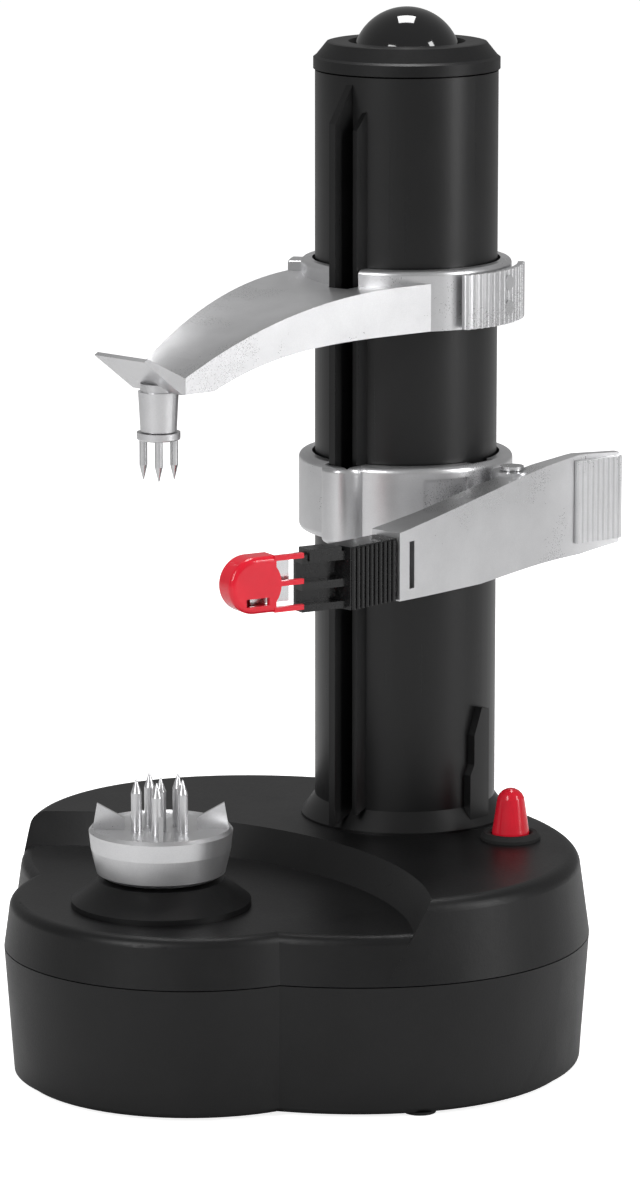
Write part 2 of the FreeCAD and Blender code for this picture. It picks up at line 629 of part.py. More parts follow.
def screw_bush():
    """Top bearing of the feed screw, a disc held under the cap."""
    plug = COLUMN_RADIUS - COLUMN_WALL - FIT
    disc = cyl(plug - 2.3, 266, 269)
    return disc.cut(cyl(2.4 + RUN, 265, 270))


def arm_half(y):
    share = (y - ARM_TAIL_Y) / (ARM_ROOT_Y - ARM_TAIL_Y)
    return ARM_TAIL_HALF + (ARM_ROOT_HALF - ARM_TAIL_HALF) * share


def arm_top(y):
    return ARM_ROOT_TOP - ARM_DROP * max(0.0, (ARM_ROOT_Y - y) / (ARM_ROOT_Y - ARM_TAIL_Y)) ** 2.15


def arm_under(y):
    share = max(0.0, (ARM_ROOT_Y - y) / (ARM_ROOT_Y - UNDER_END_Y))
    return UPPER_RING_Z - ARM_UNDER_DROP * min(1.0, share) ** 3.1


UNDER_END_Y = -89.8
ARM_DISH = 1.3


def arm_section(y):
    """Cross-section with upright sides and a dished top."""
    half = arm_half(y)
    top, under = arm_top(y), arm_under(y)
    a, b = V(-half, y, under), V(half, y, under)
    c, d = V(half, y, top), V(-half, y, top)
    dish = Part.Arc(c, V(0, y, top - ARM_DISH), d).toShape()
    return Part.Wire([Part.makeLine(a, b), Part.makeLine(b, c), dish, Part.makeLine(d, a)])


def arch():
    steps = 6
    places = [ARM_ROOT_Y + (UNDER_END_Y - ARM_ROOT_Y) * k / steps for k in range(steps + 1)]
    arc = Part.makeLoft([arm_section(y) for y in places], True, False)
    root = Part.makeLoft([arm_section(ARM_ROOT_Y + 8), arm_section(ARM_ROOT_Y)], True, True)
    end = Part.makeLoft([arm_section(UNDER_END_Y), arm_section(ARM_TAIL_Y)], True, True)
    return arc.fuse([root, end])


def arm_tail():
    """Upturned plate beyond the spindle."""
    valley = arm_top(ARM_TAIL_Y)
    under = arm_under(ARM_TAIL_Y)
    side = [(ARM_TAIL_Y + 0.3, under), (ARM_TAIL_Y + 0.3, valley - ARM_DISH), (ARM_TAIL_Y, valley - 0.2)]
    side += [(-113.6, 207.6), (-115.0, 206.9), (ARM_TAIL_Y - 1.2, under)]
    return prism_x(side, -ARM_TAIL_HALF, ARM_TAIL_HALF)


def rail_notch(z0, z1):
    """Passage for the rail and the rib beside the slot."""
    x0 = RAIL_X - RAIL_WIDTH / 2 - GAP
    x1 = SIDE_RIB_X + SIDE_RIB_WIDTH / 2 + GAP
    return box(x0, x1, RAIL_TOP_Y - GAP, -20, z0, z1)


def sector(a0, a1, radius, z0, z1):
    """Pie slice between two angles in plan."""
    steps = 6
    points = [(0.0, 0.0)]
    points += [around(0, 0, radius, a0 + (a1 - a0) * k / steps) for k in range(steps + 1)]
    return prism_z(points, z0, z1)


PAD_FROM, PAD_TO = -18.0, 43.0
PAD_TRAVEL = 1.4


def upper_arm():
    z0, z1 = UPPER_RING_Z, UPPER_RING_Z + UPPER_RING_HEIGHT
    hoop = rounded(cyl(RING_OUTER, z0, z1), 1.4, at_height(z1))
    lug = ring(RING_OUTER - 1, PAD_RADIUS, z0, z1 - 1, 0, 0)
    lug = lug.common(sector(208, 226, 60, z0, z1))
    lug = rounded(lug, 0.8, at_height(z1 - 1))
    body = hoop.fuse([lug, arch(), arm_tail()])
    body = body.cut(cyl(RING_BORE, z0 - 20, z1 + 5)).cut(rail_notch(z0 - 20, z1 + 5))
    socket = cone(SOCKET_FOOT_RADIUS, SOCKET_TOP_RADIUS, SOCKET_Z, SOCKET_Z + SOCKET_LENGTH, 0, HOLDER_Y)
    body = body.fuse([socket, cyl(SOCKET_FOOT_RADIUS, SOCKET_Z + 2, SOCKET_Z + SOCKET_LENGTH + 2.2, 0, HOLDER_Y)])
    body = body.cut(cyl(2.0 + RUN, SOCKET_Z - 1, SOCKET_Z + 9, 0, HOLDER_Y))
    guide = Part.makeCylinder(2.3, 12, V(RING_BORE - 2, 0, 0), V(1, 0, 0))
    for z in (z0 + 5, z1 - 5):
        hole = guide.copy()
        hole.translate(V(0, 0, z))
        hole.rotate(V(0, 0, 0), V(0, 0, 1), PAD_MID)
        body = body.cut(hole)
    return body


PAD_MID = (PAD_FROM + PAD_TO) / 2


def release_pad():
    """Ribbed thumb pad outside the ring, on two guide pegs through its wall."""
    z0, z1 = UPPER_RING_Z + 0.4, UPPER_RING_Z + UPPER_RING_HEIGHT - 1.2
    shell = ring(RING_OUTER + PAD_TRAVEL + 0.3, PAD_RADIUS - 0.5, z0, z1).common(sector(PAD_FROM, PAD_TO, 60, z0, z1))
    ribs = []
    for k in range(PAD_RIBS):
        a = PAD_FROM + (PAD_TO - PAD_FROM) * (k + 0.5) / PAD_RIBS
        x, y = around(0, 0, PAD_RADIUS - 0.75, a)
        ribs.append(cyl(0.75, z0, z1, x, y))
    pad = shell.fuse(ribs)
    for z in (UPPER_RING_Z + 5, UPPER_RING_Z + UPPER_RING_HEIGHT - 5):
        peg = Part.makeCylinder(2.2, 5.0, V(RING_BORE + PAD_TRAVEL + 0.5, 0, z), V(1, 0, 0))
        peg.rotate(V(0, 0, 0), V(0, 0, 1), PAD_MID)
        pad = pad.fuse(peg)
    return pad


def top_spindle():
    """Free-turning pin in the socket, with a plate of food pins below."""
    z = SOCKET_Z
    stem = cyl(2.0, z - 1.0, z + 8.6, 0, HOLDER_Y)
    plate = cyl(SOCKET_FOOT_RADIUS + 1.0, z - 2.4, z - 0.3, 0, HOLDER_Y)
    return stem.fuse(rounded(plate, 0.5, at_height(z - 2.4)))


def spindle_pins():
    z = SOCKET_Z - 2.42
    pins = []
    for x, y in [(0.0, 0.0)] + [around(0, 0, 4.2, 90 * k + 45) for k in range(4)]:
        stem = cyl(1.1, z - 7, z, x, HOLDER_Y + y)
        pins.append(stem.fuse(cone(0.15, 1.1, z - 11, z - 7, x, HOLDER_Y + y)))
    return Part.makeCompound(pins)


BULGE_X = 3.6
EAR_Z0, EAR_Z1 = 150.0, 157.0


def carriage():
    z0, z1 = CARRIAGE_Z, CARRIAGE_Z + CARRIAGE_HEIGHT
    outer = RING_OUTER + 0.6
    hoop = rounded(cyl(outer, z0, z1), 1.8, lambda e: at_height(z0)(e) or at_height(z1)(e))
    boss = rounded(cyl(6.4, z0, z1, BULGE_X, -29.6), 1.6, lambda e: at_height(z0)(e) or at_height(z1)(e))
    stub = cyl(1.3, z0 - 3.2, z0 + 3, BULGE_X + 0.6, -34.4)
    ear = capsule(26, PIVOT_Y, PIVOT_X, PIVOT_Y, LUG_RADIUS - 0.6, EAR_Z0, EAR_Z1)
    body = hoop.fuse([boss, stub, ear])
    pocket = ring(outer - 1.2, outer + 4, z0 + 2.5, z1 - 3.4).common(sector(-38, -12, 60, z0, z1))
    body = body.cut(pocket)
    body = body.cut(cyl(RING_BORE, z0 - 5, z1 + 5)).cut(rail_notch(z0 - 5, z1 + 5))
    cam_path = box(24, COLUMN_RADIUS + CAM_REACH + GAP, -3.6, 5.5, z0 - 5, z1 + 1).common(cyl(29.2, 0, 300))
    body = body.cut(cam_path)
    pin_hole = cyl(PIVOT_PIN_RADIUS, z0 - 5, z1 + 5, PIVOT_X, PIVOT_Y)
    nut_seat = box(SLOT_X - 1.3, SLOT_X + 1.3, -31, -20, NUT_Z - 6, NUT_Z + 6)
    return body.cut(pin_hole).cut(nut_seat)


NUT_Z = CARRIAGE_Z + CARRIAGE_HEIGHT / 2


def half_nut():
    """Finger through the column slot with a half nut on the feed screw."""
    finger = box(SLOT_X - 1.28, SLOT_X + 1.28, -29, -5, NUT_Z - 6, NUT_Z + 6)
    nut = ring(SCREW_RADIUS + 0.3, SCREW_RADIUS + 3.4, NUT_Z - 7, NUT_Z + 7)
    nut = nut.common(sector(225, 325, 60, NUT_Z - 7, NUT_Z + 7))
    return finger.fuse(nut).cut(cyl(SCREW_RADIUS + 0.3, NUT_Z - 9, NUT_Z + 9))


def pivot_pin():
    z0, z1 = 140.2, 165.6
    pin = cyl(PIVOT_PIN_RADIUS, z0, z1, PIVOT_X, PIVOT_Y).fuse(cyl(3.6, z0 - 0.8, z0, PIVOT_X, PIVOT_Y))
    return pin.fuse(cyl(3.4, z1, z1 + 1.1, PIVOT_X, PIVOT_Y))


def lever_top(y):
    share = (y - LEVER_FRONT_Y) / (26.0 - LEVER_FRONT_Y)
    return LEVER_FRONT_TOP + LEVER_RISE * share


LEVER_OUTER = [(51.0, -58.0), (48.0, -30.0), (44.6, -4.0), (43.0, 12.0), (43.4, 24.0), (46.2, 40.0)]
LEVER_INNER = [(43.4, 41.0), (39.4, 24.0), (37.6, 12.0)]


def lever_plan(z0, z1):
    """Plan of the lever: long curved outer face, slimmer inner one."""
    outer = Part.BSplineCurve()
    outer.interpolate([V(x, y, z0) for x, y in LEVER_OUTER])
    inner = [V(x, y, z0) for x, y in LEVER_INNER]
    inner += [V(37.6, -10, z0), V(40.6, -40, z0), V(51.0 - LEVER_FRONT_WIDTH, LEVER_FRONT_Y, z0)]
    last = V(LEVER_OUTER[-1][0], LEVER_OUTER[-1][1], z0)
    first = V(LEVER_OUTER[0][0], LEVER_OUTER[0][1], z0)
    edges = [outer.toShape()]
    chain = [last] + inner + [first]
    edges += [Part.makeLine(p, q) for p, q in zip(chain, chain[1:])]
    return Part.Face(Part.Wire(edges)).extrude(V(0, 0, z1 - z0))


def blade_arm():
    """Hollow tapered lever with its lugs, its front socket and its thumb rest."""
    z0 = LEVER_BOTTOM_Z
    side = [(LEVER_FRONT_Y, z0 + 0.6), (-20.0, z0 - 0.6), (26.0, z0 + 1.0), (43.0, z0 + 3.4)]
    side += [(43.0, lever_top(26) - 0.8), (26.0, lever_top(26)), (LEVER_FRONT_Y, lever_top(LEVER_FRONT_Y))]
    body = lever_plan(z0 - 5, z0 + 40).common(prism_x(side, 20, 70))
    lugs = []
    for low, high in ((z0 + 6.0, EAR_Z0 - 0.3), (EAR_Z1 + 0.3, 165.4)):
        lugs.append(cyl(LUG_RADIUS, low, high, PIVOT_X, PIVOT_Y))
        lugs.append(box(PIVOT_X, 42.0, PIVOT_Y - LUG_RADIUS, PIVOT_Y + LUG_RADIUS, low, high))
    body = body.cut(box(30, 41.8, PIVOT_Y - 7.5, PIVOT_Y + 7.5, EAR_Z0 - 0.3, EAR_Z1 + 0.3))
    body = body.fuse(lugs)
    body = body.cut(box(30, PIVOT_X + LUG_RADIUS + 0.2, PIVOT_Y - 8, PIVOT_Y + 8, EAR_Z0 - 0.3, EAR_Z1 + 0.3))
    body = body.cut(cyl(PIVOT_PIN_RADIUS + RUN, 130, 190, PIVOT_X, PIVOT_Y))
    body = body.cut(cyl(4.4, 130, z0 + 6.0, PIVOT_X, PIVOT_Y)).cut(cyl(4.0, 165.4, 190, PIVOT_X, PIVOT_Y))
    body = body.cut(socket_space(0.0))
    slot = box(47.0, 56.0, SLOT_Y - 1.1, SLOT_Y + 1.1, z0 + 3.4, z0 + LEVER_FRONT_HEIGHT - 3.0)
    return body.cut(slot)


SLOT_Y = -52.6
THUMB_FROM, THUMB_TO = 24.5, 39.5


def socket_space(clear):
    """Space in the front of the lever for the plug of the blade holder."""
    x0 = 51.0 - LEVER_FRONT_WIDTH + LEVER_WALL
    z0 = LEVER_BOTTOM_Z + LEVER_WALL + 0.8
    z1 = LEVER_FRONT_TOP - LEVER_WALL
    return box(x0 + clear, 51.0 - LEVER_WALL - 1.0 - clear, LEVER_FRONT_Y - 1, -36 - clear, z0 + clear, z1 - clear)


def thumb_pad():
    """Ribbed rest let on to the rear of the lever's outer face."""
    ribs = []
    for k in range(THUMB_RIBS):
        y = THUMB_FROM + (THUMB_TO - THUMB_FROM) * k / (THUMB_RIBS - 1)
        x = 43.4 + 2.8 * (y - 24.0) / 16.0 + 0.55
        ribs.append(cyl(0.75, LEVER_BOTTOM_Z + 4.4, lever_top(26) - 1.6, x, y))
    first, last = ribs[0], ribs[-1]
    strip = [(43.5, THUMB_FROM - 0.8), (44.3, THUMB_FROM - 0.8), (47.0, THUMB_TO + 0.4), (46.3, THUMB_TO + 0.4)]
    back = prism_z(strip, LEVER_BOTTOM_Z + 4.4, lever_top(26) - 1.6)
    pad = back.fuse(ribs)
    return pad.cut(lever_plan(LEVER_BOTTOM_Z - 5, LEVER_BOTTOM_Z + 40))


BLOCK_LENGTH = 18.4
BLOCK_RIBS = 10


def blade_holder():
    """Black cartridge: plug in the lever, ribbed grip, and the webs that carry the head."""
    plug = socket_space(FIT)
    x0, x1 = 42.0, 50.0
    z0, z1 = LEVER_BOTTOM_Z + 0.8, LEVER_FRONT_TOP - 1.4
    front = LEVER_FRONT_Y - GAP - BLOCK_LENGTH
    grip = box(x0, x1, front, LEVER_FRONT_Y - GAP, z0, z1)
    body = plug.fuse(grip)
    for k in range(BLOCK_RIBS):
        y = front + 1.2 + (BLOCK_LENGTH - 2.4) * k / (BLOCK_RIBS - 1)
        body = body.fuse(cyl(0.62, z0, z1 - 0.4, x1, y))
    for z, thick in ((z0 + 0.4, 2.0), (z0 + 6.4, 2.2), (z1 - 3.6, 2.4)):
        web = box(-2.4, 2.4, 0, 14.0, z, z + thick)
        body = body.fuse(head_place(web, 15.0))
    upper = head_place(box(-3.0, 3.0, 2.0, 12.0, z1 - 3.0, z1 + 0.2), 15.0)
    spine = head_place(box(-2.4, -1.2, 0, 14.0, z0 + 0.4, z1 - 1.2), 15.0)
    return body.fuse([upper, spine])


def head_place(shape, back):
    """Put a shape drawn along -Y from the head's rear into the turned head frame."""
    out = shape.copy()
    out.translate(V(0, -14.0, 0))
    out.rotate(V(0, 0, 0), V(0, 0, 1), -HEAD_TURN)
    out.translate(V(46.0, LEVER_FRONT_Y - GAP - BLOCK_LENGTH + 1.2, 0))
    return out


GUARD_Z = 148.2


def guard_shell(length, height, half, shrink):
    """Thimble form: round nose in the upright plane, open at the rear."""
    r = height / 2 - shrink
    nose = Part.makeCylinder(r, 2 * (half - shrink), V(-(half - shrink), 0, 0), V(1, 0, 0))
    body = Part.makeBox(2 * (half - shrink), length - r, 2 * r, V(-(half - shrink), 0, -r))
    return nose.fuse(body)


def blade_guard():
    """Red U-shaped guard with three straps back to the cartridge."""
    half = GUARD_WIDTH / 2
    outer = guard_shell(GUARD_LENGTH, GUARD_HEIGHT, half, 0.0).removeSplitter()
    outer = rounded(outer, 1.6, lambda e: e.BoundBox.YMin < GUARD_LENGTH - GUARD_HEIGHT / 2 - 1 and e.BoundBox.XLength < 0.01)
    inner = guard_shell(GUARD_LENGTH + 4, GUARD_HEIGHT, half, 1.4)
    body = outer.cut(inner)
    rear = GUARD_LENGTH - GUARD_HEIGHT / 2
    for z in (GUARD_HEIGHT / 2 - 1.4, -0.7, -GUARD_HEIGHT / 2):
        body = body.fuse(Part.makeBox(1.4, 9.0, 1.4, V(half - 1.4, rear - 0.5, z)))
    body = body.cut(Part.makeBox(GUARD_WIDTH, 7.0, 2.2, V(0, -3.0, -5.6)))
    return place_guard(body)


def place_guard(shape):
    out = shape.copy()
    out.translate(V(0, -29.0, GUARD_Z))
    out.rotate(V(0, 0, 0), V(0, 0, 1), -HEAD_TURN)
    out.translate(V(46.0, LEVER_FRONT_Y - GAP - BLOCK_LENGTH + 1.2, 0))
    return out


def peeling_blade():
    """Slotted steel blade held between the webs, inside the guard."""
    strip = Part.makeBox(0.8, 12.0, GUARD_HEIGHT - 4.2, V(-0.4, 0.0, -GUARD_HEIGHT / 2 + 2.1))
    slit = Part.makeBox(2.0, 1.4, GUARD_HEIGHT - 8.0, V(-1.0, 3.0, -GUARD_HEIGHT / 2 + 4.0))
    return place_guard(strip.cut(slit))


def power_button():
    z = HIGH_DECK_Z
    top = z + BUTTON_HEIGHT
    outline = [(0.0, top)]
    for k in range(1, 6):
        a = math.radians(90 - 18 * k)
        outline.append((BUTTON_TIP_RADIUS * math.cos(a), top - BUTTON_TIP_RADIUS * (1 - math.sin(a))))
    outline += [(BUTTON_RADIUS, z + 2.2), (BUTTON_RADIUS, z - 5.0), (BUTTON_RADIUS - 1.2, z - 5.0)]
    outline += [(BUTTON_RADIUS - 1.2, z - 1.0), (1.8, z - 1.0), (1.8, z - 9.6), (0.0, z - 9.6)]
    return turned(outline, BUTTON_X, BUTTON_Y)


def button_bezel():
    z = HIGH_DECK_Z + 0.02
    inner = BUTTON_RADIUS + FIT * 2
    outline = [(inner, z), (BEZEL_RADIUS, z), (BEZEL_RADIUS, z + 0.9), (BEZEL_RADIUS - 1.0, z + 2.0)]
    outline += [(inner + 0.6, z + 2.0), (inner, z + 1.5)]
    return turned(outline, BUTTON_X, BUTTON_Y)


def power_switch():
    z1 = HIGH_DECK_Z - 10.6
    body = box(BUTTON_X - 6, BUTTON_X + 6, BUTTON_Y - 6, BUTTON_Y + 6, z1 - 12, z1)
    body = body.cut(cyl(2.2, z1 - 5, z1 + 1, BUTTON_X, BUTTON_Y))
    arms = []
    for x in (BUTTON_X - 7.4, BUTTON_X + 6.0):
        arms.append(box(x, x + 1.4, BUTTON_Y - 3, BUTTON_Y + 3, z1 - 8, HIGH_DECK_Z - WALL - 0.02))
    return body.fuse(arms)


def button_spring():
    return coil(3.0, 0.3, HIGH_DECK_Z - 10.5, HIGH_DECK_Z - 1.1, 5, BUTTON_X, BUTTON_Y)


def arm_spring():
    """Coil round the pivot pin below the lever's lugs; it presses the blade to the food."""
    return coil(2.9, 0.35, 140.6, 143.7, 3, PIVOT_X, PIVOT_Y)


def power_inlet():
    back = REAR_BACK_Y
    barrel = Part.makeCylinder(INLET_RADIUS, 15.5, V(INLET_X, back - 16, INLET_Z), V(0, 1, 0))
    well = Part.makeCylinder(2.8, 10, V(INLET_X, back - 10, INLET_Z), V(0, 1, 0))
    pin = Part.makeCylinder(0.9, 9, V(INLET_X, back - 11, INLET_Z), V(0, 1, 0))
    stand = box(INLET_X - 4, INLET_X + 4, back - 16, back - 10.5, FOOT_HEIGHT + PLATE_THICK + 0.02, INLET_Z)
    return barrel.fuse(stand).cut(well).fuse(pin)


SPACE = 180.0 / OUTPUT_TEETH

save("base_cover", base_cover(), False)
save("base_tub", base_tub())
save("bottom_plate", bottom_plate())
save("battery_case", battery_case())
save("batteries", batteries())
save("battery_contacts", battery_contacts())
save("battery_door", door_panel(CASE_X0, CASE_X1, CASE_Y0, CASE_Y1))
save("spare_blade_box", spare_box())
save("spare_blades", spare_blades())
save("spare_blade_door", door_panel(SPARE_X0, SPARE_X1, SPARE_Y0, SPARE_Y1))
save("rubber_feet", rubber_feet())
save("base_screws", base_screws())
save("gear_plate", gear_plate())
save("plate_screws", plate_screws())
save("shaft_bushes", shaft_bushes())
save("gear_axles", gear_axles())
save("motor", motor())
save("motor_shaft", motor_shaft())
save("motor_pinion", motor_pinion())
save("first_gear", first_gear())
save("idler_gear", idler_gear())
save("holder_gear", output_gear(HOLDER_Y, 90 + SPACE))
save("screw_gear", output_gear(0.0, 90 + SPACE))
save("holder_shaft", holder_shaft())
save("food_holder", food_holder())
save("holder_pins", holder_pins())
save("holder_skirt", holder_skirt())
save("column", column())
save("column_cap", column_cap())
save("cap_dome", cap_dome())
save("lead_screw", lead_screw())
save("screw_bush", screw_bush())
save("upper_arm", upper_arm())
save("release_pad", release_pad())
save("top_spindle", top_spindle())
save("spindle_pins", spindle_pins())
save("carriage", carriage())
save("half_nut", half_nut())
save("pivot_pin", pivot_pin())
save("blade_arm", blade_arm())
save("thumb_pad", thumb_pad())
save("arm_spring", arm_spring())
save("blade_holder", blade_holder())
save("blade_guard", blade_guard())
save("peeling_blade", peeling_blade())
save("power_button", power_button())
save("button_bezel", button_bezel())
save("button_spring", button_spring())
save("power_switch", power_switch())
save("power_inlet", power_inlet())
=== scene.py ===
import bmesh
import bpy
import numpy as np
from mathutils import Matrix, Vector


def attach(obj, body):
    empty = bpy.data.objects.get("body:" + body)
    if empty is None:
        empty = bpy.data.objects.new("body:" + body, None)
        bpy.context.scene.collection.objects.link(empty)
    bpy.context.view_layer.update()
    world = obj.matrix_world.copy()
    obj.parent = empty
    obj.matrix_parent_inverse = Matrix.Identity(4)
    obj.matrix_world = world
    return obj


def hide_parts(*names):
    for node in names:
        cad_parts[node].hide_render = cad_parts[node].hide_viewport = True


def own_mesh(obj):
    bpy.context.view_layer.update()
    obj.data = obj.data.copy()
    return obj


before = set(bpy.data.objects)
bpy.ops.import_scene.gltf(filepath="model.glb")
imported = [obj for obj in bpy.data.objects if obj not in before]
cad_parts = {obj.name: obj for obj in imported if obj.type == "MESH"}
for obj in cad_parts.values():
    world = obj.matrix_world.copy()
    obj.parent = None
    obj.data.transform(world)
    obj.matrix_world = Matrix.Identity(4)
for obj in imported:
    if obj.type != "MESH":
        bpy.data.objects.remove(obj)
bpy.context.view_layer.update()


# Camera: a long lens a little above the table, looking at the corner between
# the food holder and the blade arm. Its place was fitted to the column and rings.
EYE = Vector((1.0797, -1.1808, 0.44715))
SIGHT = Vector((-0.67264, 0.71335, -0.19671))
SIGHT_RIGHT = Vector((0.72756, 0.68604, 0.0))
LENS_MM = 172.85
SENSOR_MM = 36.0

lens = bpy.data.cameras.new("studio_camera")
lens.sensor_fit = "VERTICAL"
lens.sensor_height = SENSOR_MM
lens.lens = LENS_MM
lens.clip_start = 0.05
lens.clip_end = 20.0
camera = bpy.data.objects.new("studio_camera", lens)
bpy.context.scene.collection.objects.link(camera)
sight_up = SIGHT_RIGHT.cross(SIGHT).normalized()
turn = Matrix((SIGHT_RIGHT, sight_up, -SIGHT)).transposed()
camera.matrix_world = Matrix.Translation(EYE) @ turn.to_4x4()
bpy.context.scene.camera = camera
bpy.context.scene.view_settings.view_transform = "Standard"


# Table and backdrop: one matt white sweep under the feet. It glows to the camera, so
# that it reads as plain white, and faintly to the glossy parts.
FLOOR_HALF = 3.0
FLOOR_DROP = 0.0002
FLOOR_TO_CAMERA = 0.85
FLOOR_TO_GLOSS = 0.1


class Shade:
    """A shader value: a node's output socket, whose operators add Math nodes."""

    def __init__(self, tree, socket=None):
        self.tree = tree
        self.socket = socket

    def node(self, kind, values, settings=None, out=0):
        """Add any node: its settings first, then the values or links of its sockets."""
        made = self.tree.nodes.new(kind)
        for key, setting in (settings or {}).items():
            setattr(made, key, setting)
        for key, value in values.items():
            if isinstance(value, Shade):
                self.tree.links.new(value.socket, made.inputs[key])
            else:
                made.inputs[key].default_value = value
        return Shade(self.tree, made.outputs[out])

    def maths(self, operation, *values):
        return self.node("ShaderNodeMath", dict(enumerate(values)), {"operation": operation})

    def __add__(self, other):
        return self.maths("ADD", self, other)

    def __sub__(self, other):
        return self.maths("SUBTRACT", self, other)

    def __mul__(self, other):
        return self.maths("MULTIPLY", self, other)

    def __radd__(self, other):
        return self.maths("ADD", other, self)

    def __rsub__(self, other):
        return self.maths("SUBTRACT", other, self)

    def __rmul__(self, other):
        return self.maths("MULTIPLY", other, self)

    def ramp(self, low, high, start=0.0, end=1.0):
        """A value that rises smoothly from start to end while this one goes from low to high."""
        values = {0: self, 1: low, 2: high, 3: start, 4: end}
        return self.node("ShaderNodeMapRange", values, {"interpolation_type": "SMOOTHSTEP"})

    def paint(self, under, over):
        """A colour that turns from under to over as this value goes from 0 to 1."""
        return self.node("ShaderNodeMix", {0: self, 6: under, 7: over}, {"data_type": "RGBA"}, 2)

    def noise(self, scale, detail, **sockets):
        """Noise on this vector, with its even value as the output."""
        sockets.update(Vector=self, Scale=scale, Detail=detail)
        return self.node("ShaderNodeTexNoise", sockets)

    def mapped(self, scale, **sockets):
        """This vector, stretched by a scale for each axis."""
        sockets.update(Vector=self, Scale=scale)
        return self.node("ShaderNodeMapping", sockets)

    def bump(self, strength, distance):
        """The normal of a surface that has this value as its height."""
        values = {"Height": self, "Strength": strength, "Distance": distance}
        return self.node("ShaderNodeBump", values)


def rgb(red, green, blue):
    return (red, green, blue, 1.0)


def empty_material(name):
    """A material with one Principled shader, and the object's own coordinates."""
    material = bpy.data.materials.new(name)
    material.use_nodes = True
    tree = material.node_tree
    tree.nodes.clear()
    skin = tree.nodes.new("ShaderNodeBsdfPrincipled")
    output = tree.nodes.new("ShaderNodeOutputMaterial")
    tree.links.new(skin.outputs[0], output.inputs[0])
    place = Shade(tree).node("ShaderNodeTexCoord", {}, out="Object")
    return material, skin, place


def set_skin(skin, **sockets):
    """Fill the shader's sockets by name, with a link for a Shade and a value otherwise."""
    for key, value in sockets.items():
        socket = skin.inputs[key.replace("_", " ")]
        if isinstance(value, Shade):
            value.tree.links.new(value.socket, socket)
        else:
            socket.default_value = value


def grid_object(name, points, tube=False, smooth=True):
    """Mesh from a grid of points[u, v]: quads between neighbours. A tube is closed along
    v, and has a fan round the mean point of its first and its last row."""
    rows, columns = points.shape[:2]
    index = np.arange(rows * columns).reshape(rows, columns)
    near = np.hstack([index, index[:, :1]]) if tube else index
    corners = [near[:-1, :-1], near[1:, :-1], near[1:, 1:], near[:-1, 1:]]
    faces = np.stack(corners, -1).reshape(-1, 4).tolist()
    vertices = points.reshape(-1, 3)
    for row, order in ((0, 1), (rows - 1, -1)) if tube else ():
        centre = len(vertices)
        vertices = np.vstack([vertices, points[row].mean(0)])
        edges = np.stack([near[row, :-1], near[row, 1:]], -1)[:, ::order]
        faces += np.column_stack([np.full(len(edges), centre), edges]).tolist()
    mesh = bpy.data.meshes.new(name)
    mesh.from_pydata(vertices.tolist(), [], faces)
    mesh.validate()
    made = bpy.data.objects.new(name, mesh)
    bpy.context.scene.collection.objects.link(made)
    mesh.polygons.foreach_set("use_smooth", np.full(len(mesh.polygons), smooth))
    return made


def background_rays(tree, to_camera, to_gloss):
    """Strength that the camera, and the rays bounced by gloss or through glass, see."""
    rays = tree.nodes.new("ShaderNodeLightPath")
    seen = Shade(tree, rays.outputs["Is Camera Ray"])
    gloss = Shade(tree, rays.outputs["Is Glossy Ray"])
    through = Shade(tree, rays.outputs["Is Transmission Ray"])
    return seen * to_camera + gloss * to_gloss + through * to_gloss


side = np.linspace(-FLOOR_HALF, FLOOR_HALF, 3)
across, along = np.meshgrid(side, side, indexing="ij")
level = np.full_like(across, -FLOOR_DROP)
floor = grid_object("table", np.stack([along, across, level], -1), smooth=False)
matt_white, skin, place = empty_material("matt_white_table")
paper = place.noise(40.0, 3.0).ramp(0.3, 0.7)
set_skin(skin, Base_Color=paper.paint(rgb(0.82, 0.82, 0.82), rgb(0.84, 0.84, 0.84)), Roughness=0.75)
floor_glow = background_rays(matt_white.node_tree, FLOOR_TO_CAMERA, FLOOR_TO_GLOSS)
set_skin(skin, Emission_Color=rgb(1, 1, 1), Emission_Strength=floor_glow)
floor.data.materials.append(matt_white)


# Lamps: a broad soft box high in front, a long strip on the right, a smaller box
# high behind, and a white surround that the camera sees brighter than it lights.
SURROUND = 0.2
SURROUND_TO_GLOSS = 0.08
MIDDLE = (0.0, -0.04, 0.15)

world = bpy.data.worlds.new("studio_surround")
bpy.context.scene.world = world
world.use_nodes = True
world.node_tree.nodes.clear()
glow = background_rays(world.node_tree, 1.0 - SURROUND, SURROUND_TO_GLOSS) + SURROUND
surround = glow.node("ShaderNodeBackground", {"Color": rgb(1, 1, 1), "Strength": glow})
sky_out = world.node_tree.nodes.new("ShaderNodeOutputWorld")
world.node_tree.links.new(surround.socket, sky_out.inputs["Surface"])


def soft_box(name, at, wide, high, watts):
    """Rectangular area lamp at one point, facing the middle of the machine."""
    lamp = bpy.data.lights.new(name, "AREA")
    lamp.shape = "RECTANGLE"
    lamp.size = wide
    lamp.size_y = high
    lamp.energy = watts
    made = bpy.data.objects.new(name, lamp)
    bpy.context.scene.collection.objects.link(made)
    facing = (Vector(MIDDLE) - Vector(at)).to_track_quat("-Z", "Y")
    made.matrix_world = Matrix.Translation(Vector(at)) @ facing.to_matrix().to_4x4()


soft_box("key_lamp", (0.15, -1.75, 1.05), wide=0.55, high=0.9, watts=16.0)
soft_box("strip_lamp", (1.5, 0.45, 0.75), wide=0.3, high=1.3, watts=13.0)
soft_box("top_lamp", (-0.25, 0.25, 1.5), wide=0.5, high=0.5, watts=10.0)


# Base: the upper cover, the tub and the inset bottom plate. All are injection-moulded
# ABS with a fine spark-eroded grain; the cover drops on the tub and screws hold both.
SATIN_BLACK = rgb(0.0050, 0.0050, 0.0053)


